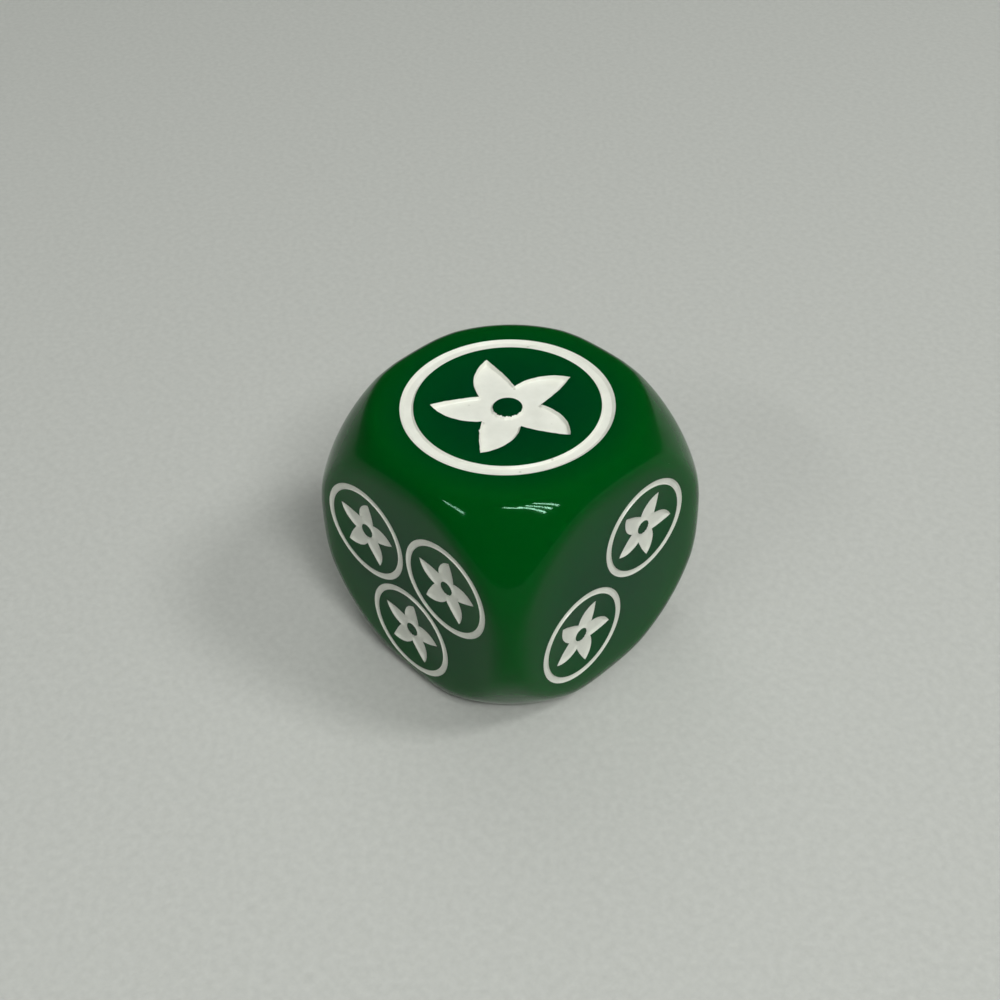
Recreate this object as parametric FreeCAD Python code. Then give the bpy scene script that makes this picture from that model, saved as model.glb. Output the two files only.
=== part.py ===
"""Round-cornered casino die with engraved pips lined in enamel.

The die is one solid block: a cube whose corners are turned down by a sphere and
whose edges are blended all round. Every pip is a shallow dish with a ring groove
around it and a five-petal flower pocket in its middle. A separate coat of enamel
lines each groove and each pocket, so every pip adds two pieces to the block.

Millimetres. The origin is the middle of the resting face and +Z points up.
One is on top, two faces +X, three faces -Y, and opposite faces add up to seven.
"""
import FreeCAD, Part

import math
import os

from FreeCAD import Matrix, Placement, Vector

# ---- block -------------------------------------------------------------------
SIDE = 38.0
CORNER_SPHERE_RADIUS = 25.8
EDGE_BLEND_RADIUS = 3.2

# ---- outer radius of the pip rings on each face --------------------------------
RING_RADIUS = {1: 13.8, 2: 7.25, 3: 7.25, 4: 6.0, 5: 5.2, 6: 4.6}

# ---- distance of the pips from the middle of each face -------------------------
TWO_SPREAD = 8.1
THREE_SPREAD = 8.75
FOUR_SPREAD = 9.7
FIVE_SPREAD = 10.9
SIX_COLUMN_OFFSET = 6.2
SIX_ROW_PITCH = 9.6

# ---- pip shape, as shares of the outer radius of its ring ----------------------
RING_INNER = 0.875
RING_ENAMEL_THICKNESS = 0.030
RING_ENAMEL_LIP = 0.010
DISH_RIM = 0.860
DISH_DEPTH = 0.038
PETAL_TIP = 0.72
PETAL_NOTCH = 0.31
EYE = 0.14
POCKET_DEPTH = 0.080
POCKET_ENAMEL_THICKNESS = 0.016

# ---- flower outline ------------------------------------------------------------
PETAL_COUNT = 5
NOTCH_SHARE = 0.60          # how far from one tip to the next the notch lies
FULL_SIDE_BULGE = 0.155     # rise of a petal's rounded side, over its chord
LEAN_SIDE_BULGE = 0.035     # rise of a petal's nearly straight side, over its chord
FIRST_TIP_DEGREES = 79.5
FACE_TURN_DEGREES = {2: -90.0}

# ---- derived sizes -------------------------------------------------------------
HALF_SIDE = SIDE / 2.0
PETAL_PITCH = 2.0 * math.pi / PETAL_COUNT
CUTTER_OVERRUN = 1.0        # how far a cutter stands proud of the face it cuts
OFFSET_TOLERANCE = 1.0e-4
ARC_JOIN = 0                # option of the offset tools: round off outer corners
MITRE_JOIN = 2              # option of the offset tools: keep outer corners sharp

# Each face is described by the directions that read right and up on it.
FACE_AXES = {
    1: (Vector(1, 0, 0), Vector(0, 1, 0)),
    2: (Vector(0, 1, 0), Vector(0, 0, 1)),
    3: (Vector(1, 0, 0), Vector(0, 0, 1)),
    4: (Vector(-1, 0, 0), Vector(0, 0, 1)),
    5: (Vector(0, -1, 0), Vector(0, 0, 1)),
    6: (Vector(1, 0, 0), Vector(0, -1, 0)),
}
FACE_WORDS = {1: "one", 2: "two", 3: "three", 4: "four", 5: "five", 6: "six"}


def polar_point(radius, angle):
    """Point on the face plane at a radius and an angle in radians."""
    return Vector(radius * math.cos(angle), radius * math.sin(angle), 0)


def points_around(distance, first_degrees, count):
    """Evenly spaced points at one distance from the middle of a face."""
    first = math.radians(first_degrees)
    step = 2.0 * math.pi / count
    return [polar_point(distance, first + index * step) for index in range(count)]


def two_columns_of_three():
    """The centres of the six pips, which stand in two columns."""
    columns = (-SIX_COLUMN_OFFSET, SIX_COLUMN_OFFSET)
    rows = (SIX_ROW_PITCH, 0.0, -SIX_ROW_PITCH)
    return [Vector(column, row, 0) for column in columns for row in rows]


FACE_MIDDLE = [Vector(0, 0, 0)]
PIP_CENTRES = {
    1: FACE_MIDDLE,
    2: points_around(TWO_SPREAD, 45.0, 2),
    3: points_around(THREE_SPREAD, 30.0, 3),
    4: points_around(FOUR_SPREAD, 45.0, 4),
    5: FACE_MIDDLE + points_around(FIVE_SPREAD, 45.0, 4),
    6: two_columns_of_three(),
}


def rounded_block():
    """The plain block: a cube met by a sphere, grown so that every edge is round."""
    half_core = HALF_SIDE - EDGE_BLEND_RADIUS
    corner = Vector(-half_core, -half_core, -half_core)
    cube = Part.makeBox(2 * half_core, 2 * half_core, 2 * half_core, corner)
    ball = Part.makeSphere(CORNER_SPHERE_RADIUS - EDGE_BLEND_RADIUS)
    core = cube.common(ball)
    block = core.makeOffsetShape(EDGE_BLEND_RADIUS, OFFSET_TOLERANCE, join=ARC_JOIN)
    block.translate(Vector(0, 0, HALF_SIDE))
    return block


# The pip shapes below are made in the frame of one pip: the face plane is z = 0,
# +z points out of the die and the middle of the pip is the origin.


def ring_section(half_width, depth):
    """Arc across a ring groove, from its inner rim over the bottom to its outer rim."""
    inner_rim = Vector(-half_width, 0, 0)
    outer_rim = Vector(half_width, 0, 0)
    return Part.Arc(inner_rim, Vector(0, 0, -depth), outer_rim)


def spun_ring(edges, middle_radius):
    """Solid ring swept by a closed section around the axis of the pip."""
    section = Part.Face(Part.Wire(edges))
    section.translate(Vector(middle_radius, 0, 0))
    return section.revolve(Vector(0, 0, 0), Vector(0, 0, 1), 360.0)


def ring_sizes(ring_radius):
    """Half width and middle radius of a ring groove. Its section is a half circle."""
    half_width = ring_radius * (1.0 - RING_INNER) / 2.0
    return half_width, ring_radius - half_width


def ring_groove(ring_radius):
    """Cutter for the groove of a ring."""
    half_width, middle_radius = ring_sizes(ring_radius)
    bottom = ring_section(half_width, half_width)
    mouth = Part.makeLine(bottom.EndPoint, bottom.StartPoint)
    return spun_ring([bottom.toShape(), mouth], middle_radius)


def ring_enamel(ring_radius):
    """Coat of enamel in a ring groove, thickest at the bottom, thin at both rims."""
    half_width, middle_radius = ring_sizes(ring_radius)
    lip = ring_radius * RING_ENAMEL_LIP
    thickness = ring_radius * RING_ENAMEL_THICKNESS
    underside = ring_section(half_width, half_width)
    surface = ring_section(half_width - lip, half_width - thickness)
    edges = [
        underside.toShape(),
        Part.makeLine(underside.EndPoint, surface.EndPoint),
        surface.toShape(),
        Part.makeLine(surface.StartPoint, underside.StartPoint),
    ]
    return spun_ring(edges, middle_radius)


def dish(ring_radius):
    """Cutter for the shallow dish inside the ring: the low cap of a large ball."""
    rim = ring_radius * DISH_RIM
    depth = ring_radius * DISH_DEPTH
    ball_radius = (rim ** 2 + depth ** 2) / (2.0 * depth)
    rise = Vector(rim, 0, 0)
    low = Vector(0, 0, -depth)
    halfway = Vector(
        ball_radius * math.sin(0.5 * math.asin(rim / ball_radius)),
        0,
        ball_radius * (1.0 - math.cos(0.5 * math.asin(rim / ball_radius))) - depth,
    )
    curve = Part.Arc(low, halfway, rise).toShape()
    edges = [
        curve,
        Part.makeLine(rise, Vector(rim, 0, CUTTER_OVERRUN)),
        Part.makeLine(Vector(rim, 0, CUTTER_OVERRUN), Vector(0, 0, CUTTER_OVERRUN)),
        Part.makeLine(Vector(0, 0, CUTTER_OVERRUN), low),
    ]
    section = Part.Face(Part.Wire(edges))
    return section.revolve(Vector(0, 0, 0), Vector(0, 0, 1), 360.0)


def bulged_edge(start, end, bulge):
    """Arc from start to end that rises to the right of its chord by a share of it."""
    chord = end - start
    outward = Vector(chord.y, -chord.x, 0)
    crown = (start + end) * 0.5 + outward * bulge
    return Part.Arc(start, crown, end).toShape()


def flower_outline(ring_radius, turn_degrees):
    """Closed outline of the flower, run counter-clockwise from tip to tip."""
    tip_radius = ring_radius * PETAL_TIP
    notch_radius = ring_radius * PETAL_NOTCH
    first_tip = math.radians(FIRST_TIP_DEGREES + turn_degrees)
    edges = []
    for petal in range(PETAL_COUNT):
        tip_angle = first_tip + petal * PETAL_PITCH
        tip = polar_point(tip_radius, tip_angle)
        notch = polar_point(notch_radius, tip_angle + NOTCH_SHARE * PETAL_PITCH)
        next_tip = polar_point(tip_radius, tip_angle + PETAL_PITCH)
        edges.append(bulged_edge(tip, notch, FULL_SIDE_BULGE))
        edges.append(bulged_edge(notch, next_tip, LEAN_SIDE_BULGE))
    return Part.Wire(edges)


def prism(wire, bottom, top):
    """Upright solid on a flat outline between two heights."""
    base = Part.Face(wire)
    base.translate(Vector(0, 0, bottom))
    return base.extrude(Vector(0, 0, top - bottom))


def flower_pocket(ring_radius, turn_degrees):
    """Cutter for the flower pocket, which leaves the round eye standing."""
    depth = ring_radius * POCKET_DEPTH
    eye_radius = ring_radius * EYE
    petals = prism(flower_outline(ring_radius, turn_degrees), -depth, CUTTER_OVERRUN)
    eye = Part.makeCylinder(eye_radius, depth + CUTTER_OVERRUN, Vector(0, 0, -depth))
    return petals.cut(eye)


def flower_enamel(ring_radius, turn_degrees):
    """Coat of enamel on the floor and walls of the pocket, level with the dish."""
    depth = ring_radius * POCKET_DEPTH
    thickness = ring_radius * POCKET_ENAMEL_THICKNESS
    inner_outline = flower_outline(ring_radius, turn_degrees).makeOffset2D(-thickness, MITRE_JOIN)
    hollow = prism(inner_outline, thickness - depth, CUTTER_OVERRUN)
    eye_wall = Part.makeCylinder(
        ring_radius * EYE + thickness, depth + CUTTER_OVERRUN, Vector(0, 0, -depth)
    )
    filled = flower_pocket(ring_radius, turn_degrees)
    return filled.cut(hollow.cut(eye_wall)).cut(dish(ring_radius))


def on_face(shape, face, centre):
    """Put a pip shape on a face of the die, with its middle at a place on that face."""
    right, up = FACE_AXES[face]
    outward = right.cross(up)
    place = Vector(0, 0, HALF_SIDE) + outward * HALF_SIDE + right * centre.x + up * centre.y
    frame = Matrix(
        right.x, up.x, outward.x, place.x,
        right.y, up.y, outward.y, place.y,
        right.z, up.z, outward.z, place.z,
        0, 0, 0, 1,
    )
    placed = shape.copy()
    placed.Placement = Placement(frame)
    return placed


def only_solid(shape):
    """The one solid a cut leaves. Anything else means the dimensions clash."""
    if len(shape.Solids) != 1:
        raise ValueError("expected one solid, found %d" % len(shape.Solids))
    return shape.Solids[0]


def pip_pieces():
    """All enamel pieces by name, and all the cutters that make room in the block."""
    pieces = {}
    cutters = []
    for face, centres in PIP_CENTRES.items():
        ring_radius = RING_RADIUS[face]
        turn = FACE_TURN_DEGREES.get(face, 0.0)
        groove = ring_groove(ring_radius)
        ring = ring_enamel(ring_radius)
        hollow = dish(ring_radius)
        pocket = flower_pocket(ring_radius, turn)
        flower = only_solid(flower_enamel(ring_radius, turn))
        for index, centre in enumerate(centres, start=1):
            label = FACE_WORDS[face] if len(centres) == 1 else "%s_%d" % (FACE_WORDS[face], index)
            pieces["ring_" + label] = on_face(ring, face, centre)
            pieces["flower_" + label] = on_face(flower, face, centre)
            for cutter in (groove, hollow, pocket):
                cutters.append(on_face(cutter, face, centre))
    return pieces, cutters


def main():
    """Build every piece and write one STEP file for each."""
    os.makedirs("parts", exist_ok=True)
    pieces, cutters = pip_pieces()
    body = rounded_block()
    for cutter in cutters:
        body = body.cut(cutter)
    pieces["die_body"] = only_solid(body)
    for name, shape in pieces.items():
        shape.exportStep("parts/%s.step" % name)


main()
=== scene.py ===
"""Looks for the round-cornered casino die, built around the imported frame.

The block and its enamel are rebuilt as fine meshes from the same few dimensions as
the solids: the rounded block, and on each face a sheet whose height follows the
dishes, ring grooves and flower pockets. Lengths are in millimetres until a mesh is
made, because the frame's own unit, the metre, is large for a die.
"""
import math
from collections import namedtuple

import bpy
import numpy as np
from mathutils import Euler, Matrix, Vector
from mathutils.geometry import delaunay_2d_cdt


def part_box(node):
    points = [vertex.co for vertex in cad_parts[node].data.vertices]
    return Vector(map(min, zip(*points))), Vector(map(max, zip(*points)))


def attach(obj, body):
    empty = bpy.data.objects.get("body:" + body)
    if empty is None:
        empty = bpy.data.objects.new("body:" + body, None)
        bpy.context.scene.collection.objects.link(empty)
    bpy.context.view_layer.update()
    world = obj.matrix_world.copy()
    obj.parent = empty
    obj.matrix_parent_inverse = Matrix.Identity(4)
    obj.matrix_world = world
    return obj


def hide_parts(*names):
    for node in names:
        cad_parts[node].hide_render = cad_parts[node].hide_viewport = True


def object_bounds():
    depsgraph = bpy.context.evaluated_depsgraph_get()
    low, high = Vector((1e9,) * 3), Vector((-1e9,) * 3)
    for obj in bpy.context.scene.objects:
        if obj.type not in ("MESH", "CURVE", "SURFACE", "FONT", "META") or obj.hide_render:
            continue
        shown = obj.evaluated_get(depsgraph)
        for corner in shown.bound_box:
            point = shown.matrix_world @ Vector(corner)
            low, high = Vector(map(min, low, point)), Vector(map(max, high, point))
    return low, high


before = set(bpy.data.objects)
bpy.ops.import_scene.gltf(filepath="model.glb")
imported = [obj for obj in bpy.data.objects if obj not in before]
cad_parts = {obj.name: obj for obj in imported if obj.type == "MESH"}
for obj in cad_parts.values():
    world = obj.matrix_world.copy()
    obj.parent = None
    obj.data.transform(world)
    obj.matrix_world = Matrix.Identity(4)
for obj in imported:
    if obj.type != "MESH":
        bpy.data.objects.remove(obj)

CAD_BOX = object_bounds()
MM = 0.001
FULL_TURN = 2.0 * math.pi

# ---- block, read from the frame where the frame can say it ----------------------
BODY_LOW, BODY_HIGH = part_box("die_body")
SIDE = (BODY_HIGH.x - BODY_LOW.x) / MM
HALF_SIDE = SIDE / 2.0
BLOCK_CENTRE = np.array((BODY_LOW + BODY_HIGH) / 2.0) / MM
CORNER_SPHERE_RADIUS = 25.8
EDGE_BLEND_RADII = (1.8, 3.2, 4.6)  # the surface is the mean of blocks with these blends
SHEET_DROP = 0.2                # how far the engraved sheet of a face reaches down its edge

# ---- engraving, as shares of the outer radius of a pip's ring ---------------------
RING_INNER = 0.875
DISH_RIM = 0.860
DISH_DEPTH = 0.038
POCKET_DEPTH = 0.080
LIP = 0.006                     # radius of the polished lip around an engraving
PIP_REACH = 1.1                 # all of a pip's engraving lies within this radius
PIP_CLEARANCE = 1.03            # the block's plain points stay outside this radius

# ---- flower outline ----------------------------------------------------------------
PETAL_COUNT = 5
PETAL_TIP = 0.72                # radii of the tips, the notches and the eye, as shares
PETAL_NOTCH = 0.31              # of the ring's outer radius
EYE = 0.14
NOTCH_SHARE = 0.60              # place of a notch between two tips
FULL_SIDE_BULGE = 0.155         # rise of a petal's two sides, over their chords
LEAN_SIDE_BULGE = 0.035
FIRST_TIP_DEGREES = 79.5
FACE_TURN_DEGREES = {"two": -90.0}

# ---- unevenness from cutting by hand, as shares of the ring's outer radius -----------
WOBBLE_WAVES = (                # waves around a flower and their size
    (7, 0.0018),
    (17, 0.0012),
    (41, 0.0010),
    (73, 0.0008),
)
WOBBLE_SHIFT = 1.3              # keeps the waves out of step with each other
EYE_RAGGED = 0.09               # unevenness of a flower's eye, over its own radius
EYE_WAVES = (23.0, 9.0)
EYE_ROUGH_SIDE = math.radians(-50.0)
CHIPS = (                       # pip, place across and up, reach along the edge, depth
    ("one", 0.064, -0.422, 0.018, 0.014),
    ("one", -0.300, -0.120, 0.014, 0.008),
    ("one", 0.420, 0.330, 0.014, 0.008),
    ("two_1", 0.250, 0.180, 0.025, 0.014),
    ("three_2", -0.200, 0.330, 0.022, 0.012),
)

# ---- enamel ---------------------------------------------------------------------------
RING_ENAMEL_THICKNESS = 0.030   # shares of the ring's outer radius, down to the underside
ENAMEL_LIP = 0.004              # how far the edge of the enamel lies under the lip
ENAMEL_FLOOR = 0.066            # level part of a flower's enamel, under the face
ENAMEL_UNDERSIDE = 0.079
RING_INNER_WALL = 0.28          # widths of the sloping sides of a ring's enamel, over half
RING_OUTER_WALL = 0.55          # the width of the ring
RING_FLOOR = 0.72               # depth of its level floor, over the deepest it could be
RING_TOP_DROP = 0.7             # gaps from the face to the enamel's edge and from the
RING_UNDERSIDE_DROP = 0.9       # groove to its underside, over the radius of the lip

# ---- fineness of the meshes --------------------------------------------------------------
GRID_COUNT = 96                 # cells along each side of a face of the block
GRID_MARGIN = 4                 # cells past the sides of a face, where normals are averaged
SOFT_WINDOW = (1.0, 4.0, 6.0, 4.0, 1.0)
BISECTIONS = 30                 # halvings when a surface is searched for
SEARCH_MARGIN = 0.1             # how far past the possible radii that search starts
HEIGHT_ROUNDS = 4               # rounds when the block's height over a point is searched for
SLOPE_STEP = 0.002              # step over which the slope of an engraving is measured
WELD_STEP = 1.0e-4              # points nearer to each other than this become one
LOOP_BATCH = 2000               # points that are compared with an outline at a time
FINE_PETAL_POINTS = 24          # points along a petal's side where distances are measured
EYE_POINTS = 96
RING_PROFILE_POINTS = 41
RING_ROWS = (2.0, 1.0, 0.4, -0.1)       # rows of points along the edges of a groove and
FLOWER_ROWS = (1.0, 0.4, 0.02, -0.2)    # a flower, in lips outside the edge
SHEET_STEP = 0.06               # spacing of loose points on the block, over the ring's radius
SLOPE_ROWS = (0.15, 0.35, 0.65, 1.0)    # rows down the slope of a flower's enamel
SLOPE_ROW_CLEARANCE = 0.9       # a row's points nearer to an edge than this are left out
TRIANGLE_HEIGHT = math.sqrt(0.75)       # of an even triangle, over its side

# points around a ring, points along a petal's side in the block and in the enamel, then
# the width of the enamel's slope and the spacing of its points over the ring's radius
Detail = namedtuple("Detail", "around body_petal enamel_petal slope_width step")
LARGE_DETAIL = Detail(around=288, body_petal=24, enamel_petal=24, slope_width=0.022, step=0.022)
SMALL_DETAIL = Detail(around=144, body_petal=14, enamel_petal=16, slope_width=0.085, step=0.028)
LARGE_RING_RADIUS = 10.0

# ---- looks: ramp stops are (place, colour), plain values go straight to the shader --------
ACRYLIC_GREENS_WITH_PAINTED_GLOW = (              # from the middle of a face out to the corner sphere: the lighter, less blue green towards the corners is painted glow, standing in for light shining through the thin acrylic there
    (0.0, (0.0, 0.043, 0.0100)),
    (0.45, (0.0, 0.054, 0.0095)),
    (1.0, (0.0, 0.066, 0.0055)),
)
ACRYLIC_LOOK = {
    "Roughness": 0.06,
    "IOR": 1.49,
    "Specular IOR Level": 0.15,
    "Specular Tint": (0.50, 1.0, 0.72, 1.0),
    "Subsurface Weight": 0.6,
    "Subsurface Radius": (0.001, 0.008, 0.003),
    "Subsurface Scale": 1.0,
}
LARGE_ENAMEL_WHITES = ((0.3, (0.77, 0.78, 0.69)), (0.7, (0.85, 0.86, 0.77)))
# the small pips' enamel is greyer than the large pip's: painted shade, for the side faces that
# get less light than the top
SMALL_ENAMEL_WHITES_WITH_PAINTED_SHADE = ((0.3, (0.60, 0.615, 0.55)), (0.7, (0.70, 0.715, 0.64)))
ENAMEL_PITS = ((0.04, (0.76, 0.77, 0.74)), (0.08, (1.0, 1.0, 1.0)))
ENAMEL_LOOK = {"Roughness": 0.32, "IOR": 1.5}
PAPER_GREYS = ((0.25, (0.500, 0.512, 0.478)), (0.75, (0.560, 0.572, 0.535)))
PAPER_LOOK = {"Roughness": 0.9, "Specular IOR Level": 0.2}
ROOM_GREYS = (                  # from straight down to straight up
    (0.0, (0.10, 0.11, 0.10)),
    (0.16, (0.040, 0.045, 0.040)),
    (0.45, (0.014, 0.020, 0.016)),
    (0.85, (0.020, 0.030, 0.025)),
    (1.0, (0.075, 0.090, 0.080)),
)

# ---- stage, in metres and degrees: directions are (azimuth, elevation) from the die --------
FLOOR_HALF = 1.5
ROOM_LIGHTS = (                 # name, direction, distance, size, radiance
    ("ceiling", (60.0, 84.0), 1.6, (1.8, 1.8), 0.42),
    ("right", (122.0, 50.0), 1.4, (0.30, 0.30), 20.0),
    ("back_fill", (236.0, 52.0), 1.4, (0.80, 0.80), 1.0),
)
FITTING_DISTANCE = 1.2          # from the die to the ceiling fittings that it mirrors
FITTING_THICKNESS = 0.022       # over that distance
FITTING_RADIANCE = 74.0
FITTING_TUBES = (               # the two ends of each
    ((67.5, 56.0), (84.5, 41.5)),
    ((59.5, 53.0), (78.0, 41.0)),
    ((53.0, 51.7), (72.5, 39.5)),
    ((40.4, 51.1), (56.5, 48.9)),
)
FAR_FITTING_RADIANCE = 42.0
FAR_FITTING_TUBE = ((-13.0, 40.8), (12.6, 37.7))
CAMERA_PLACE = (0.1123, -0.1073, 0.1625)
CAMERA_DIRECTION = (46.80, 42.25)
CAMERA_ROLL_DEGREES = -1.86
CAMERA_LENS = 56.0
CAMERA_SENSOR = 36.0
CAMERA_NEAREST = 0.005

# right and up of each face, as seen from outside the die
FACE_AXES = {
    "one": ((1, 0, 0), (0, 1, 0)),
    "two": ((0, 1, 0), (0, 0, 1)),
    "three": ((1, 0, 0), (0, 0, 1)),
    "four": ((-1, 0, 0), (0, 0, 1)),
    "five": ((0, -1, 0), (0, 0, 1)),
    "six": ((1, 0, 0), (0, -1, 0)),
}


class Face:
    """One face of the die: its axes, and the pips that the frame puts on it."""

    def __init__(self, word):
        right, up = FACE_AXES[word]
        self.word = word
        self.right = np.array(right, float)
        self.up = np.array(up, float)
        self.outward = np.cross(self.right, self.up)
        self.middle = BLOCK_CENTRE + self.outward * HALF_SIDE
        self.pips = [
            Pip(self, name[len("ring_"):])
            for name in sorted(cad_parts)
            if name.startswith("ring_" + word)
        ]

    def to_die(self, points):
        """Points (x, y, height) on the face, in the die's frame."""
        return (
            self.middle
            + points[:, :1] * self.right
            + points[:, 1:2] * self.up
            + points[:, 2:3] * self.outward
        )

    def turn(self, vectors):
        """Directions in the face's frame, in the die's frame."""
        return (
            vectors[:, :1] * self.right
            + vectors[:, 1:2] * self.up
            + vectors[:, 2:3] * self.outward
        )


class Pip:
    """One pip: where the frame puts it on its face, how big it is and how it is turned."""

    def __init__(self, face, label):
        low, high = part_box("ring_" + label)
        middle = np.array((low + high) / 2.0) / MM - face.middle
        self.label = label
        self.centre = np.array([middle @ face.right, middle @ face.up])
        self.radius = max(high - low) / MM / 2.0
        self.turn = math.radians(FIRST_TIP_DEGREES + FACE_TURN_DEGREES.get(face.word, 0.0))
        self.detail = LARGE_DETAIL if self.radius > LARGE_RING_RADIUS else SMALL_DETAIL
        self.seed = sum(ord(letter) for letter in label)


# ---- outlines ------------------------------------------------------------------------


def arc_points(start, end, bulge, count):
    """Points along an arc, without its end, that rises by bulge times its chord."""
    chord = end - start
    across = np.array([chord[1], -chord[0]])
    half_angle = 2.0 * math.atan(2.0 * bulge)
    radius = 0.5 / math.sin(half_angle)
    angles = np.linspace(-half_angle, half_angle, count, endpoint=False)
    along = 0.5 + radius * np.sin(angles)
    rise = radius * (np.cos(angles) - math.cos(half_angle))
    return start + along[:, None] * chord + rise[:, None] * across


def polar(radius, angle):
    """A point at a radius and angle from the middle of a pip."""
    return radius * np.array([math.cos(angle), math.sin(angle)])


def circle(radius, count):
    """Evenly spaced points around the middle of a pip."""
    angles = np.linspace(0.0, FULL_TURN, count, endpoint=False)
    return radius * np.stack([np.cos(angles), np.sin(angles)], axis=1)


def offset_loop(points, distance):
    """A closed loop moved outwards by a distance, with mitred corners."""
    before = points - np.roll(points, 1, axis=0)
    after = np.roll(points, -1, axis=0) - points
    normals = []
    for edge in (before, after):
        edge = edge / np.linalg.norm(edge, axis=1, keepdims=True)
        normals.append(np.stack([edge[:, 1], -edge[:, 0]], axis=1))
    total = normals[0] + normals[1]
    share = 1.0 + np.sum(normals[0] * normals[1], axis=1, keepdims=True)
    return points + distance * total / share


def hand_wobble(points, pip):
    """Nudges a closed outline by hundredths of a millimetre, as a hand-guided cutter does."""
    turns = np.linspace(0.0, FULL_TURN, len(points), endpoint=False)
    shift = sum(
        share * pip.radius * np.sin(count * turns + pip.seed * (order + WOBBLE_SHIFT))
        for order, (count, share) in enumerate(WOBBLE_WAVES)
    )
    outward = offset_loop(points, 1.0) - points
    length = np.maximum(np.linalg.norm(outward, axis=1, keepdims=True), 1.0)
    return points + outward / length * shift[:, None] / length


def chipped(points, pip):
    """A closed outline pushed out where the cutter chipped the acrylic."""
    for label, x, y, reach, push in CHIPS:
        if label != pip.label:
            continue
        gap = np.linalg.norm(points - pip.radius * np.array([x, y]), axis=1) / pip.radius
        depth = push * pip.radius * np.exp(-(gap / reach) ** 2)
        points = points + (offset_loop(points, 1.0) - points) * depth[:, None]
    return points


def eye_outline(pip):
    """Closed outline of the green eye of a flower, a little ragged where it chipped."""
    angles = np.linspace(0.0, FULL_TURN, EYE_POINTS, endpoint=False)
    rough_side = np.maximum(np.cos(angles - EYE_ROUGH_SIDE), 0.0)
    fine, coarse = EYE_WAVES
    ragged = np.sin(angles * fine + pip.seed) * np.sin(angles * coarse) * rough_side
    radii = pip.radius * EYE * (1.0 + EYE_RAGGED * ragged)
    return radii[:, None] * np.stack([np.cos(angles), np.sin(angles)], axis=1)


def flower_outline(pip, count):
    """Closed outline of a flower, counter-clockwise from a tip, around the pip's middle."""
    pitch = FULL_TURN / PETAL_COUNT
    pieces = []
    for petal in range(PETAL_COUNT):
        tip_angle = pip.turn + petal * pitch
        tip = polar(pip.radius * PETAL_TIP, tip_angle)
        notch = polar(pip.radius * PETAL_NOTCH, tip_angle + NOTCH_SHARE * pitch)
        next_tip = polar(pip.radius * PETAL_TIP, tip_angle + pitch)
        pieces.append(arc_points(tip, notch, FULL_SIDE_BULGE, count))
        pieces.append(arc_points(notch, next_tip, LEAN_SIDE_BULGE, count))
    return chipped(hand_wobble(np.concatenate(pieces), pip), pip)


def distance_to_loop(points, loop):
    """Distance from each point to a closed loop of straight segments."""
    edge = np.roll(loop, -1, axis=0) - loop
    length_squared = np.sum(edge ** 2, axis=1)
    nearest = np.full(len(points), np.inf)
    for first in range(0, len(points), LOOP_BATCH):
        batch = slice(first, first + LOOP_BATCH)
        reach = points[batch, None, :] - loop[None]
        share = np.clip(np.sum(reach * edge, axis=2) / length_squared, 0.0, 1.0)
        gap = np.linalg.norm(reach - share[..., None] * edge, axis=2)
        nearest[batch] = gap.min(axis=1)
    return nearest


def inside_loop(points, loop):
    """Whether each point is inside a closed loop, by counting crossings."""
    x, y = points[:, :1], points[:, 1:2]
    x0, y0 = loop[:, 0], loop[:, 1]
    x1, y1 = np.roll(x0, -1), np.roll(y0, -1)
    spans = (y0 > y) != (y1 > y)
    with np.errstate(divide="ignore", invalid="ignore"):
        crossing = x0 + (y - y0) * (x1 - x0) / (y1 - y0)
    return (np.sum(spans & (x < crossing), axis=1) % 2).astype(bool)


def signed_distance(points, loop):
    """Distance from each point to a closed loop, negative inside it."""
    distance = distance_to_loop(points, loop)
    return np.where(inside_loop(points, loop), -distance, distance)


def triangulate(points, loops, keep):
    """Delaunay triangles over points. loops are runs of indices that edges must follow."""
    edges = []
    for loop in loops:
        edges += [(loop[index], loop[(index + 1) % len(loop)]) for index in range(len(loop))]
    vertices = [Vector(point) for point in points]
    new_vertices, _, new_faces, sources, *_ = delaunay_2d_cdt(vertices, edges, [], 0, 1e-6)
    flat = np.array([(vertex.x, vertex.y) for vertex in new_vertices])
    for index, found in enumerate(sources):
        if found:
            flat[index] = points[found[0]]
    faces = np.array(new_faces)
    faces = faces[keep(flat[faces].mean(axis=1))]
    corners = flat[faces]
    first = corners[:, 1] - corners[:, 0]
    second = corners[:, 2] - corners[:, 0]
    clockwise = first[:, 0] * second[:, 1] - first[:, 1] * second[:, 0] < 0
    faces[clockwise] = faces[clockwise][:, ::-1]
    return flat, faces


def border_edges(faces):
    """The edges of a triangulated patch that only one triangle uses, in its own order."""
    edges = np.concatenate([faces[:, [0, 1]], faces[:, [1, 2]], faces[:, [2, 0]]])
    keys = np.sort(edges, axis=1)
    _, first, uses = np.unique(keys, axis=0, return_index=True, return_counts=True)
    return edges[first[uses == 1]]


# ---- heights of a face -----------------------------------------------------------------


def dish_height(pip, radii):
    """Height of the shallow dish inside a ring."""
    share = np.minimum(radii / (pip.radius * DISH_RIM), 1.0)
    return -pip.radius * DISH_DEPTH * (1.0 - share ** 2)


def lip_drop(gap, lip):
    """How far a rounded lip falls, at a gap outside the edge it goes over."""
    share = np.clip(1.0 - gap / lip, 0.0, 1.0)
    return lip * (1.0 - np.sqrt(1.0 - share ** 2))


def ring_radii(pip):
    """Half width and middle radius of a ring groove."""
    half_width = pip.radius * (1.0 - RING_INNER) / 2.0
    return half_width, pip.radius - half_width


def flower_gap(pip, points):
    """Distance to the edge of the enamelled flower: positive on green, negative on white."""
    to_outline = signed_distance(points, flower_outline(pip, FINE_PETAL_POINTS))
    to_eye = signed_distance(points, eye_outline(pip))
    return np.maximum(to_outline, -to_eye)


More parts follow.
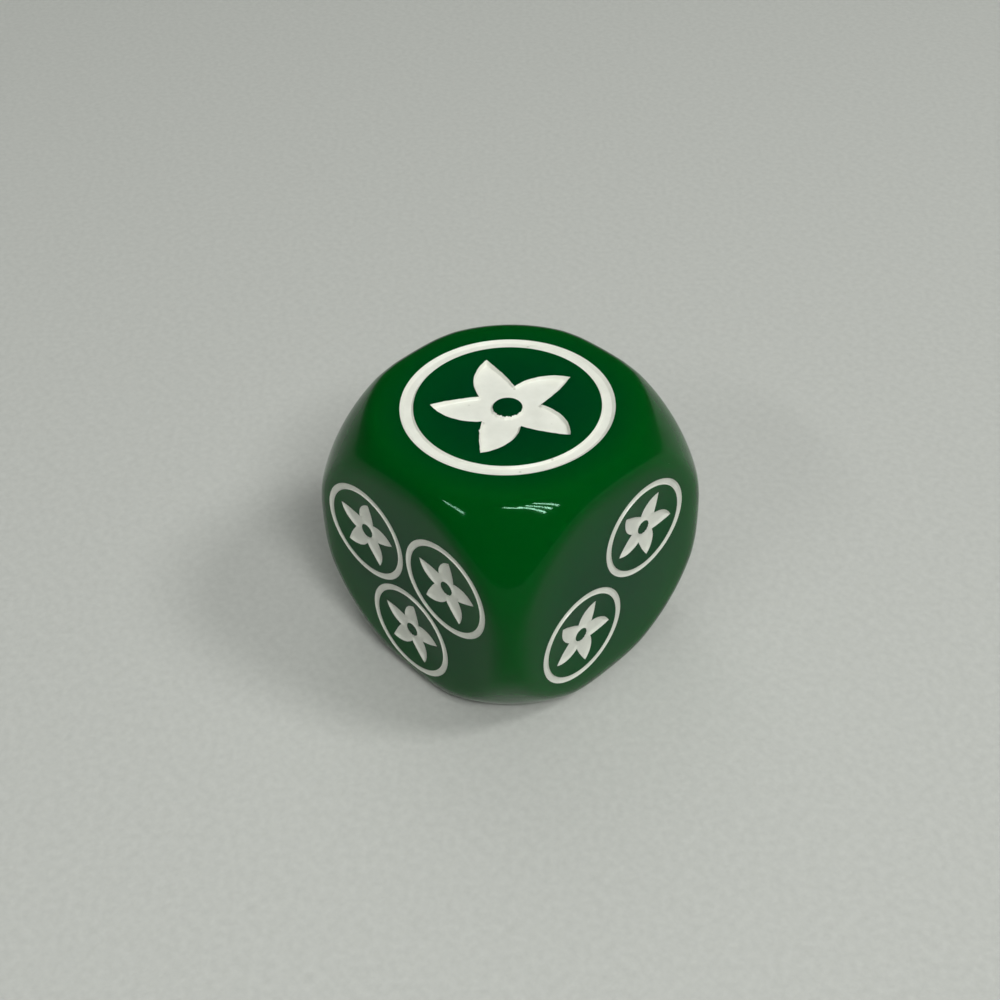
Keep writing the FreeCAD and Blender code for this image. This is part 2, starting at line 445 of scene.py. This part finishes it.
def pip_height(pip, points):
    """Height of one pip's engraving: its dish, its groove and its pocket, with their lips."""
    radii = np.linalg.norm(points, axis=1)
    lip = pip.radius * LIP
    half_width, middle = ring_radii(pip)
    across = np.abs(radii - middle)
    groove = -np.sqrt(np.maximum(half_width ** 2 - across ** 2, 0.0)) - lip
    rim = -lip_drop(across - half_width, lip)
    height = np.where(across < half_width, groove, rim + dish_height(pip, radii))
    gap = flower_gap(pip, points)
    height = np.where(gap < lip, height - lip_drop(gap, lip), height)
    return np.where(gap < 0.0, -pip.radius * POCKET_DEPTH, height)


def engraving_height(face, points):
    """Height of a face's engraving: negative in it, and zero where there is none."""
    height = np.zeros(len(points))
    for pip in face.pips:
        local = points - pip.centre
        near = np.linalg.norm(local, axis=1) < pip.radius * PIP_REACH
        if near.any():
            height[near] = np.minimum(height[near], pip_height(pip, local[near]))
    return height


def tilt_normals(base, height_of, points):
    """Unit normals of a height field laid on a surface that has its own normals."""
    across = np.array([SLOPE_STEP, 0.0])
    along = np.array([0.0, SLOPE_STEP])
    slope_x = (height_of(points + across) - height_of(points - across)) / (2.0 * SLOPE_STEP)
    slope_y = (height_of(points + along) - height_of(points - along)) / (2.0 * SLOPE_STEP)
    normals = base / base[:, 2:] - np.stack([slope_x, slope_y, np.zeros(len(points))], axis=1)
    return normals / np.linalg.norm(normals, axis=1, keepdims=True)


# ---- meshes ------------------------------------------------------------------------------


def make_piece(name, points, faces, material, stands_for, corner_normals):
    """A mesh piece that rides on the die and stands for CAD nodes."""
    mesh = bpy.data.meshes.new(name)
    mesh.from_pydata((points * MM).tolist(), [], [list(map(int, face)) for face in faces])
    mesh.materials.append(material)
    mesh.shade_smooth()
    mesh.normals_split_custom_set(corner_normals.tolist())
    piece = bpy.data.objects.new(name, mesh)
    bpy.context.scene.collection.objects.link(piece)
    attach(piece, "root")
    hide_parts(stands_for)
    return piece


def core_nearest(points, blend):
    """Nearest point to each point of a block without its blend: a cube met by a ball."""
    size = np.abs(points)
    low = np.zeros(len(points))
    high = np.ones(len(points))
    for _ in range(BISECTIONS):
        pull = (low + high) / 2.0
        nearest = np.minimum(HALF_SIDE - blend, size / (1.0 + pull[:, None]))
        too_far = np.linalg.norm(nearest, axis=1) > CORNER_SPHERE_RADIUS - blend
        low = np.where(too_far, pull, low)
        high = np.where(too_far, high, pull)
    nearest = np.minimum(HALF_SIDE - blend, size / (1.0 + high[:, None]))
    return nearest * np.sign(points)


def blended_block(directions, blend):
    """Where rays from the middle of a block leave it, and its normals there."""
    low = np.full(len(directions), HALF_SIDE * (1.0 - SEARCH_MARGIN))
    high = np.full(len(directions), CORNER_SPHERE_RADIUS * (1.0 + SEARCH_MARGIN))
    for _ in range(BISECTIONS):
        reach = (low + high) / 2.0
        points = directions * reach[:, None]
        outside = np.linalg.norm(points - core_nearest(points, blend), axis=1) > blend
        high = np.where(outside, reach, high)
        low = np.where(outside, low, reach)
    points = directions * ((low + high) / 2.0)[:, None]
    normals = points - core_nearest(points, blend)
    return points, normals / np.linalg.norm(normals, axis=1, keepdims=True)


def block_surface(directions):
    """The block's surface and normals along rays, as the mean over its blend radii."""
    directions = directions / np.linalg.norm(directions, axis=1, keepdims=True)
    blends = [blended_block(directions, blend) for blend in EDGE_BLEND_RADII]
    points = sum(points for points, _ in blends) / len(blends)
    normals = sum(normals for _, normals in blends) / len(blends)
    return points, normals


def soften(values, axis):
    """Values averaged along one axis of a grid with a short bell-shaped window."""
    reach = len(SOFT_WINDOW) // 2
    total = sum(
        weight * np.roll(values, shift, axis=axis)
        for shift, weight in enumerate(SOFT_WINDOW, start=-reach)
    )
    return total / sum(SOFT_WINDOW)


class BlockSide:
    """One side of the block on an even grid of angles, in the frame of a face."""

    def __init__(self):
        self.count = GRID_COUNT + 2 * GRID_MARGIN
        self.step = math.pi / 2.0 / GRID_COUNT
        spread = np.tan((np.arange(self.count + 1) - self.count / 2.0) * self.step)
        x, y = np.meshgrid(spread, spread, indexing="ij")
        local = np.stack([x.ravel(), y.ravel(), np.ones(x.size)], axis=1)
        points, normals = block_surface(local)
        self.points = points.reshape(*x.shape, 3)
        normals = normals.reshape(*x.shape, 3)
        for axis in (0, 1, 0, 1):
            normals = soften(normals, axis)
        self.normals = normals / np.linalg.norm(normals, axis=2, keepdims=True)

    def inner(self, values):
        """The part of a grid that belongs to this side, as a list."""
        kept = values[GRID_MARGIN:-GRID_MARGIN, GRID_MARGIN:-GRID_MARGIN]
        return kept.reshape(-1, 3)

    def read(self, values, points, depth):
        """Values of the grid at points of the face that lie at a depth from the middle."""
        place = np.arctan2(points, depth[:, None]) / self.step + self.count / 2.0
        low = np.floor(place).astype(int)
        share = place - low
        total = 0.0
        for x_side in (0, 1):
            for y_side in (0, 1):
                weight = np.abs(1 - x_side - share[:, 0]) * np.abs(1 - y_side - share[:, 1])
                total = total + weight[:, None] * values[low[:, 0] + x_side, low[:, 1] + y_side]
        return total

    def height_at(self, points):
        """Height of the block over points of the face: zero, but for its edges."""
        depth = np.full(len(points), HALF_SIDE)
        for _ in range(HEIGHT_ROUNDS):
            depth = self.read(self.points, points, depth)[:, 2]
        return depth - HALF_SIDE

    def normals_at(self, points):
        """Polished normals of the block over points of the face."""
        total = self.read(self.normals, points, HALF_SIDE + self.height_at(points))
        return total / np.linalg.norm(total, axis=1, keepdims=True)


def split_side(side):
    """Quads of a side of the block outside its engraved sheet, then the closed run of
    points where the sheet starts and the points that the sheet covers."""
    count = GRID_COUNT + 1
    flat = (side.inner(side.points)[:, 2] > HALF_SIDE - SHEET_DROP).reshape(count, count)
    index = np.arange(count * count).reshape(count, count)
    quads = np.stack([index[:-1, :-1], index[1:, :-1], index[1:, 1:], index[:-1, 1:]], axis=-1)
    all_flat = flat[:-1, :-1] & flat[1:, :-1] & flat[1:, 1:] & flat[:-1, 1:]
    border = flat_border(quads[all_flat])
    covered = np.setdiff1d(quads[all_flat].ravel(), border)
    return quads[~all_flat], border, covered


def flat_border(quads):
    """The closed run of vertices around a patch of quads."""
    following = {}
    edges = {
        (int(quad[corner]), int(quad[(corner + 1) % 4]))
        for quad in quads
        for corner in range(4)
    }
    for start, end in edges:
        if (end, start) not in edges:
            following[start] = end
    first = min(following)
    run = [first]
    while following[run[-1]] != first:
        run.append(following[run[-1]])
    return run


def rows_of_pip(pip):
    """Closed runs of points that the block's sheet has to follow around one pip."""
    lip = pip.radius * LIP
    half_width, middle = ring_radii(pip)
    around = pip.detail.around
    rows = []
    for side in (-1.0, 1.0):
        for lips in RING_ROWS:
            rows.append(circle(middle + side * (half_width + lips * lip), around))
    rows.append(circle(middle, around))
    rows.append(circle(pip.radius * DISH_RIM, around))
    outline = flower_outline(pip, pip.detail.body_petal)
    eye = eye_outline(pip)
    for lips in FLOWER_ROWS:
        rows.append(offset_loop(outline, lips * lip))
        rows.append(offset_loop(eye, -lips * lip))
    return [row + pip.centre for row in rows]


def spread_points(pip, step):
    """Evenly scattered points over a pip, well clear of its ring."""
    reach = pip.radius * DISH_RIM
    count = int(reach / step)
    steps = np.arange(-count, count + 1)
    x, y = np.meshgrid(steps * step, steps * step * TRIANGLE_HEIGHT)
    x = x + (np.arange(len(steps)) % 2)[:, None] * step / 2.0
    points = np.stack([x.ravel(), y.ravel()], axis=1)
    return points[np.linalg.norm(points, axis=1) < reach - 0.5 * step]


def sheet_points(face, border, covered):
    """Points of the engraved sheet of a face, and the closed runs its edges must follow."""
    clear = np.ones(len(covered), bool)
    for pip in face.pips:
        clear &= np.linalg.norm(covered - pip.centre, axis=1) > pip.radius * PIP_CLEARANCE
    points = [border, covered[clear]]
    loops = [range(len(border))]
    total = len(border) + int(clear.sum())
    for pip in face.pips:
        for row in rows_of_pip(pip):
            loops.append(range(total, total + len(row)))
            points.append(row)
            total += len(row)
        step = pip.radius * SHEET_STEP
        loose = spread_points(pip, step)
        loose = loose[flower_gap(pip, loose) > 0.5 * step] + pip.centre
        points.append(loose)
        total += len(loose)
    return np.concatenate(points), loops


def face_sheet(face, side, border, covered):
    """The engraved flat of a face as triangles: points, normals, faces."""
    points, loops = sheet_points(face, border, covered)
    flat, faces = triangulate(points, loops, lambda at: inside_loop(at, border))
    normals = tilt_normals(side.normals_at(flat), lambda at: engraving_height(face, at), flat)
    solid = np.column_stack([flat, side.height_at(flat) + engraving_height(face, flat)])
    return face.to_die(solid), face.turn(normals), faces


def weld(points, normals, patches):
    """Joins points that coincide, and drops collapsed faces and points without a face."""
    keys = np.round(points / WELD_STEP).astype(np.int64)
    _, first, joined = np.unique(keys, axis=0, return_index=True, return_inverse=True)
    joined = joined.ravel()
    kept = np.unique(np.concatenate([joined[patch].ravel() for patch in patches]))
    renumber = np.full(len(first), -1)
    renumber[kept] = np.arange(len(kept))
    faces = [list(renumber[joined[face]]) for patch in patches for face in patch]
    faces = [face for face in faces if len(set(face)) == len(face)]
    return points[first][kept], normals[first][kept], faces


def build_body(material, side, faces_of_die):
    """The whole green block as one welded piece."""
    grid, grid_normals = side.inner(side.points), side.inner(side.normals)
    grid_quads, border, covered = split_side(side)
    points, normals, quads, triangles = [], [], [], []
    total = 0
    for face in faces_of_die:
        sheet, sheet_normals, sheet_faces = face_sheet(
            face, side, grid[border, :2], grid[covered, :2]
        )
        points += [face.turn(grid) + BLOCK_CENTRE, sheet]
        normals += [face.turn(grid_normals), sheet_normals]
        quads.append(grid_quads + total)
        triangles.append(sheet_faces + total + len(grid))
        total += len(grid) + len(sheet)
    patches = [np.concatenate(quads), np.concatenate(triangles)]
    points, normals, faces = weld(np.concatenate(points), np.concatenate(normals), patches)
    corners = normals[np.concatenate(faces)]
    make_piece("block", points, faces, material, "die_body", corners)


def ring_profile(pip):
    """Closed outline, as radii and heights, of a cut through the enamel of a ring."""
    half_width, middle = ring_radii(pip)
    lip = pip.radius * LIP
    sink = pip.radius * RING_ENAMEL_THICKNESS
    across = np.cos(np.linspace(math.pi, 0.0, RING_PROFILE_POINTS))
    walls = np.minimum((1.0 + across) / RING_INNER_WALL, (1.0 - across) / RING_OUTER_WALL)
    top = -(half_width - sink) * RING_FLOOR * np.minimum(walls, 1.0) - RING_TOP_DROP * lip
    arch = np.sqrt(np.maximum(1.0 - across ** 2, 0.0))
    bottom = -half_width * arch - RING_UNDERSIDE_DROP * lip
    radii = middle + across * half_width
    way_out = np.column_stack([radii, top])
    way_back = np.column_stack([radii, bottom])[-2:0:-1]
    return np.concatenate([way_out, way_back])


def swept(profile, angles):
    """A profile of radii and heights, turned through angles about the middle of a pip."""
    x = profile[None, :, 0] * np.cos(angles)[:, None]
    y = profile[None, :, 0] * np.sin(angles)[:, None]
    z = np.broadcast_to(profile[None, :, 1], x.shape)
    return np.stack([x.ravel(), y.ravel(), z.ravel()], axis=1)


def band_faces(around, along):
    """Quads of a grid of points that closes on itself both ways."""
    index = np.arange(around * along).reshape(around, along)
    ahead = np.roll(index, -1, axis=0)
    quads = [index, np.roll(index, -1, axis=1), np.roll(ahead, -1, axis=1), ahead]
    return np.stack(quads, axis=-1).reshape(-1, 4)


def build_ring(pip, face, side, material):
    """Enamel in a ring groove: a hollow-topped band, closed underneath."""
    profile = ring_profile(pip)
    tangents = np.roll(profile, -1, axis=0) - np.roll(profile, 1, axis=0)
    upright = np.column_stack([-tangents[:, 1], tangents[:, 0]])
    upright = upright / np.linalg.norm(upright, axis=1, keepdims=True)
    angles = np.linspace(0.0, FULL_TURN, pip.detail.around, endpoint=False)
    local = swept(profile, angles)
    local[:, :2] += pip.centre
    local[:, 2] += side.height_at(local[:, :2])
    points = face.to_die(local)
    normals = face.turn(swept(upright, angles))
    faces = band_faces(len(angles), len(profile))
    label = "enamel_ring_" + pip.label
    corners = normals[faces.ravel()]
    make_piece(label, points, faces, material, "ring_" + pip.label, corners)


def enamel_height(pip, points):
    """Height of the enamel in a flower: it falls from the edge, then levels out."""
    edge = dish_height(pip, np.linalg.norm(points, axis=1)) - ENAMEL_LIP * pip.radius
    slope_width = pip.radius * pip.detail.slope_width
    share = np.clip(-flower_gap(pip, points) / slope_width, 0.0, 1.0)
    floor = -ENAMEL_FLOOR * pip.radius
    return edge + (floor - edge) * (1.0 - (1.0 - share) ** 2)


def flower_points(pip, outline, eye):
    """Points for the enamel of a flower: its two outlines, then loose ones inside them."""
    step = pip.radius * pip.detail.step
    slope_width = pip.radius * pip.detail.slope_width
    loose = spread_points(pip, step)
    loose = loose[-flower_gap(pip, loose) > slope_width + 0.4 * step]
    points = [outline, eye, loose]
    for share in SLOPE_ROWS:
        inset = share * slope_width
        for row in (offset_loop(outline, -inset), offset_loop(eye, inset)):
            points.append(row[-flower_gap(pip, row) > SLOPE_ROW_CLEARANCE * share * slope_width])
    return np.concatenate(points)


def across_edges(flat, edges):
    """Level unit directions out of a patch, across each of its border edges."""
    along = flat[edges[:, 1]] - flat[edges[:, 0]]
    outwards = np.column_stack([along[:, 1], -along[:, 0], np.zeros(len(along))])
    return outwards / np.linalg.norm(outwards, axis=1, keepdims=True)


def build_flower(pip, face, material):
    """Enamel in a flower pocket: a dished sheet with a flat underside and upright edges."""
    outline = flower_outline(pip, pip.detail.enamel_petal)
    eye = eye_outline(pip)
    loops = [range(len(outline)), range(len(outline), len(outline) + len(eye))]
    flat, faces = triangulate(
        flower_points(pip, outline, eye),
        loops,
        lambda at: inside_loop(at, outline) & ~inside_loop(at, eye),
    )
    count = len(flat)
    upper = np.column_stack([flat + pip.centre, enamel_height(pip, flat)])
    lower = np.column_stack([flat + pip.centre, np.full(count, -pip.radius * ENAMEL_UNDERSIDE)])
    edges = border_edges(faces)
    walls = np.column_stack([edges[:, 1], edges[:, 0], edges[:, 0] + count, edges[:, 1] + count])
    all_faces = list(faces) + list(faces[:, ::-1] + count) + list(walls)
    level = np.tile([0.0, 0.0, 1.0], (count, 1))
    normals = face.turn(tilt_normals(level, lambda at: enamel_height(pip, at), flat))
    corners = np.concatenate([
        normals[faces.ravel()],
        np.tile(-face.outward, (faces.size, 1)),
        np.repeat(face.turn(across_edges(flat, edges)), 4, axis=0),
    ])
    points = face.to_die(np.concatenate([upper, lower]))
    label = "enamel_flower_" + pip.label
    make_piece(label, points, all_faces, material, "flower_" + pip.label, corners)


# ---- materials ---------------------------------------------------------------------------


def new_material(name, look):
    """A node material, its tree and its shader, which gets the plain values of a look."""
    material = bpy.data.materials.new(name)
    material.use_nodes = True
    shader = material.node_tree.nodes["Principled BSDF"]
    for socket, value in look.items():
        shader.inputs[socket].default_value = value
    return material, material.node_tree, shader


def noise(tree, scale, detail, coordinates):
    """A noise texture over coordinates, with its scale and its layers of detail."""
    node = tree.nodes.new("ShaderNodeTexNoise")
    node.inputs["Scale"].default_value = scale
    node.inputs["Detail"].default_value = detail
    tree.links.new(coordinates, node.inputs["Vector"])
    return node.outputs["Fac"]


def ramp(tree, factor, stops):
    """A colour ramp with (place, colour) stops."""
    node = tree.nodes.new("ShaderNodeValToRGB")
    elements = node.color_ramp.elements
    while len(elements) < len(stops):
        elements.new(0.5)
    for element, (place, colour) in zip(elements, stops):
        element.position = place
        element.color = (*colour, 1.0)
    tree.links.new(factor, node.inputs["Fac"])
    return node.outputs["Color"]


def bump(tree, height, strength, distance, shader):
    """Bump on a shader from a height."""
    node = tree.nodes.new("ShaderNodeBump")
    node.inputs["Strength"].default_value = strength
    node.inputs["Distance"].default_value = distance
    tree.links.new(height, node.inputs["Height"])
    tree.links.new(node.outputs["Normal"], shader.inputs["Normal"])


def multiplied(tree, colour, other):
    """The product of two colours."""
    node = tree.nodes.new("ShaderNodeMix")
    node.data_type = "RGBA"
    node.blend_type = "MULTIPLY"
    node.inputs["Factor"].default_value = 1.0
    tree.links.new(colour, node.inputs["A"])
    tree.links.new(other, node.inputs["B"])
    return node.outputs["Result"]


def acrylic_material():
    """Polished deep green acrylic, a little lighter towards the thin corners: painted glow of
    light shining through them.
    """
    material, tree, shader = new_material("green_acrylic", ACRYLIC_LOOK)
    place = tree.nodes.new("ShaderNodeTexCoord").outputs["Object"]
    reach = tree.nodes.new("ShaderNodeVectorMath")
    reach.operation = "DISTANCE"
    tree.links.new(place, reach.inputs[0])
    reach.inputs[1].default_value = tuple(BLOCK_CENTRE * MM)
    spread = tree.nodes.new("ShaderNodeMapRange")
    spread.inputs["From Min"].default_value = HALF_SIDE * MM
    spread.inputs["From Max"].default_value = CORNER_SPHERE_RADIUS * MM
    tree.links.new(reach.outputs["Value"], spread.inputs["Value"])
    # painted glow: the base colour lightens from the middle of a face towards the corners, as
    # light through thin acrylic would make it
    colour = ramp(tree, spread.outputs["Result"], ACRYLIC_GREENS_WITH_PAINTED_GLOW)
    tree.links.new(colour, shader.inputs["Base Color"])
    ripple = noise(tree, 350.0, 4.0, place)
    bump(tree, ripple, strength=0.02, distance=0.0002, shader=shader)
    return material


def enamel_material(name, whites):
    """Off-white enamel with faint mottling, small pits and a satin skin."""
    material, tree, shader = new_material(name, ENAMEL_LOOK)
    place = tree.nodes.new("ShaderNodeTexCoord").outputs["Object"]
    mottling = ramp(tree, noise(tree, 420.0, 5.0, place), whites)
    pits = tree.nodes.new("ShaderNodeTexVoronoi")
    pits.inputs["Scale"].default_value = 330.0
    tree.links.new(place, pits.inputs["Vector"])
    colour = multiplied(tree, mottling, ramp(tree, pits.outputs["Distance"], ENAMEL_PITS))
    tree.links.new(colour, shader.inputs["Base Color"])
    grain = noise(tree, 900.0, 6.0, place)
    bump(tree, grain, strength=0.25, distance=0.0001, shader=shader)
    return material


def paper_material():
    """Pale grey paper with a soft grain."""
    material, tree, shader = new_material("paper", PAPER_LOOK)
    place = tree.nodes.new("ShaderNodeTexCoord").outputs["Object"]
    colour = ramp(tree, noise(tree, 900.0, 6.0, place), PAPER_GREYS)
    tree.links.new(colour, shader.inputs["Base Color"])
    grain = noise(tree, 1500.0, 6.0, place)
    bump(tree, grain, strength=0.3, distance=0.0002, shader=shader)
    return material


# ---- stage: floor, light and camera ---------------------------------------------------------


def add_floor(material):
    """A broad flat sheet for the die to stand on."""
    half = FLOOR_HALF
    mesh = bpy.data.meshes.new("floor")
    corners = [(-half, -half, 0.0), (half, -half, 0.0), (half, half, 0.0), (-half, half, 0.0)]
    mesh.from_pydata(corners, [], [(0, 1, 2, 3)])
    mesh.materials.append(material)
    floor = bpy.data.objects.new("floor", mesh)
    bpy.context.scene.collection.objects.link(floor)
    floor.location.z = CAD_BOX[0][2]


def direction(azimuth, elevation):
    """Unit vector from the die towards a place at an azimuth and elevation in degrees."""
    turn, rise = math.radians(azimuth), math.radians(elevation)
    level = math.cos(rise)
    return Vector((math.sin(turn) * level, -math.cos(turn) * level, math.sin(rise)))


def area_light(name, away, distance, size, radiance, side_axis=None):
    """A rectangular light that faces the die. One with a side axis is also mirrored in
    the polish, as a ceiling fitting that runs along that axis."""
    data = bpy.data.lights.new(name, "AREA")
    data.shape = "RECTANGLE"
    data.size, data.size_y = size
    data.energy = radiance * math.pi * size[0] * size[1]
    lamp = bpy.data.objects.new(name, data)
    bpy.context.scene.collection.objects.link(lamp)
    lamp.location = Vector(BLOCK_CENTRE * MM) + away * distance
    if side_axis is None:
        lamp.rotation_euler = away.to_track_quat("Z", "Y").to_euler()
        lamp.visible_glossy = False
    else:
        other_axis = away.cross(side_axis).normalized()
        axes = Matrix((side_axis, other_axis, away)).transposed()
        lamp.rotation_euler = axes.to_euler()


def fitting_tube(name, start, end, thickness, radiance):
    """A straight bright tube between two directions, each an azimuth and elevation."""
    one, two = direction(*start), direction(*end)
    away = ((one + two) / 2.0).normalized()
    along = (two - one) - away * (two - one).dot(away)
    size = (along.length * FITTING_DISTANCE, thickness * FITTING_DISTANCE)
    area_light(name, away, FITTING_DISTANCE, size, radiance, along.normalized())


def add_lights():
    """Soft room light, and the ceiling fittings that the polished block mirrors."""
    for name, away, distance, size, radiance in ROOM_LIGHTS:
        area_light(name, direction(*away), distance, size, radiance)
    for index, (start, end) in enumerate(FITTING_TUBES):
        name = "fitting_tube_%d" % index
        fitting_tube(name, start, end, FITTING_THICKNESS, FITTING_RADIANCE)
    fitting_tube("far_fitting", *FAR_FITTING_TUBE, FITTING_THICKNESS, FAR_FITTING_RADIANCE)


def add_world():
    """A dim room: paler low down and overhead than in between."""
    world = bpy.data.worlds.new("surround")
    world.use_nodes = True
    tree = world.node_tree
    place = tree.nodes.new("ShaderNodeTexCoord").outputs["Generated"]
    split = tree.nodes.new("ShaderNodeSeparateXYZ")
    tree.links.new(place, split.inputs["Vector"])
    colour = ramp(tree, split.outputs["Z"], ROOM_GREYS)
    tree.links.new(colour, tree.nodes["Background"].inputs["Color"])
    bpy.context.scene.world = world


def add_camera():
    """The camera, at the viewing angle of the photograph."""
    data = bpy.data.cameras.new("camera")
    data.lens = CAMERA_LENS
    data.sensor_width = CAMERA_SENSOR
    data.clip_start = CAMERA_NEAREST
    camera = bpy.data.objects.new("camera", data)
    bpy.context.scene.collection.objects.link(camera)
    camera.location = CAMERA_PLACE
    look = direction(*CAMERA_DIRECTION).to_track_quat("Z", "Y")
    roll = Euler((0, 0, math.radians(CAMERA_ROLL_DEGREES))).to_quaternion()
    camera.rotation_euler = (look @ roll).to_euler()
    bpy.context.scene.camera = camera


def main():
    """Build the die, then the stage around it."""
    acrylic = acrylic_material()
    large_enamel = enamel_material("large_enamel", LARGE_ENAMEL_WHITES)
    small_enamel_with_painted_shade = enamel_material("small_enamel_with_painted_shade", SMALL_ENAMEL_WHITES_WITH_PAINTED_SHADE)
    faces_of_die = [Face(word) for word in FACE_AXES]
    side = BlockSide()
    build_body(acrylic, side, faces_of_die)
    for face in faces_of_die:
        # the top face's large pip gets the lighter enamel; every other pip gets the greyer copy,
        # whose greyness is painted shade
        enamel = large_enamel if face.word == "one" else small_enamel_with_painted_shade
        for pip in face.pips:
            build_ring(pip, face, side, enamel)
            build_flower(pip, face, enamel)
    add_floor(paper_material())
    add_world()
    add_lights()
    add_camera()
    bpy.context.scene.view_settings.view_transform = "Standard"


main()
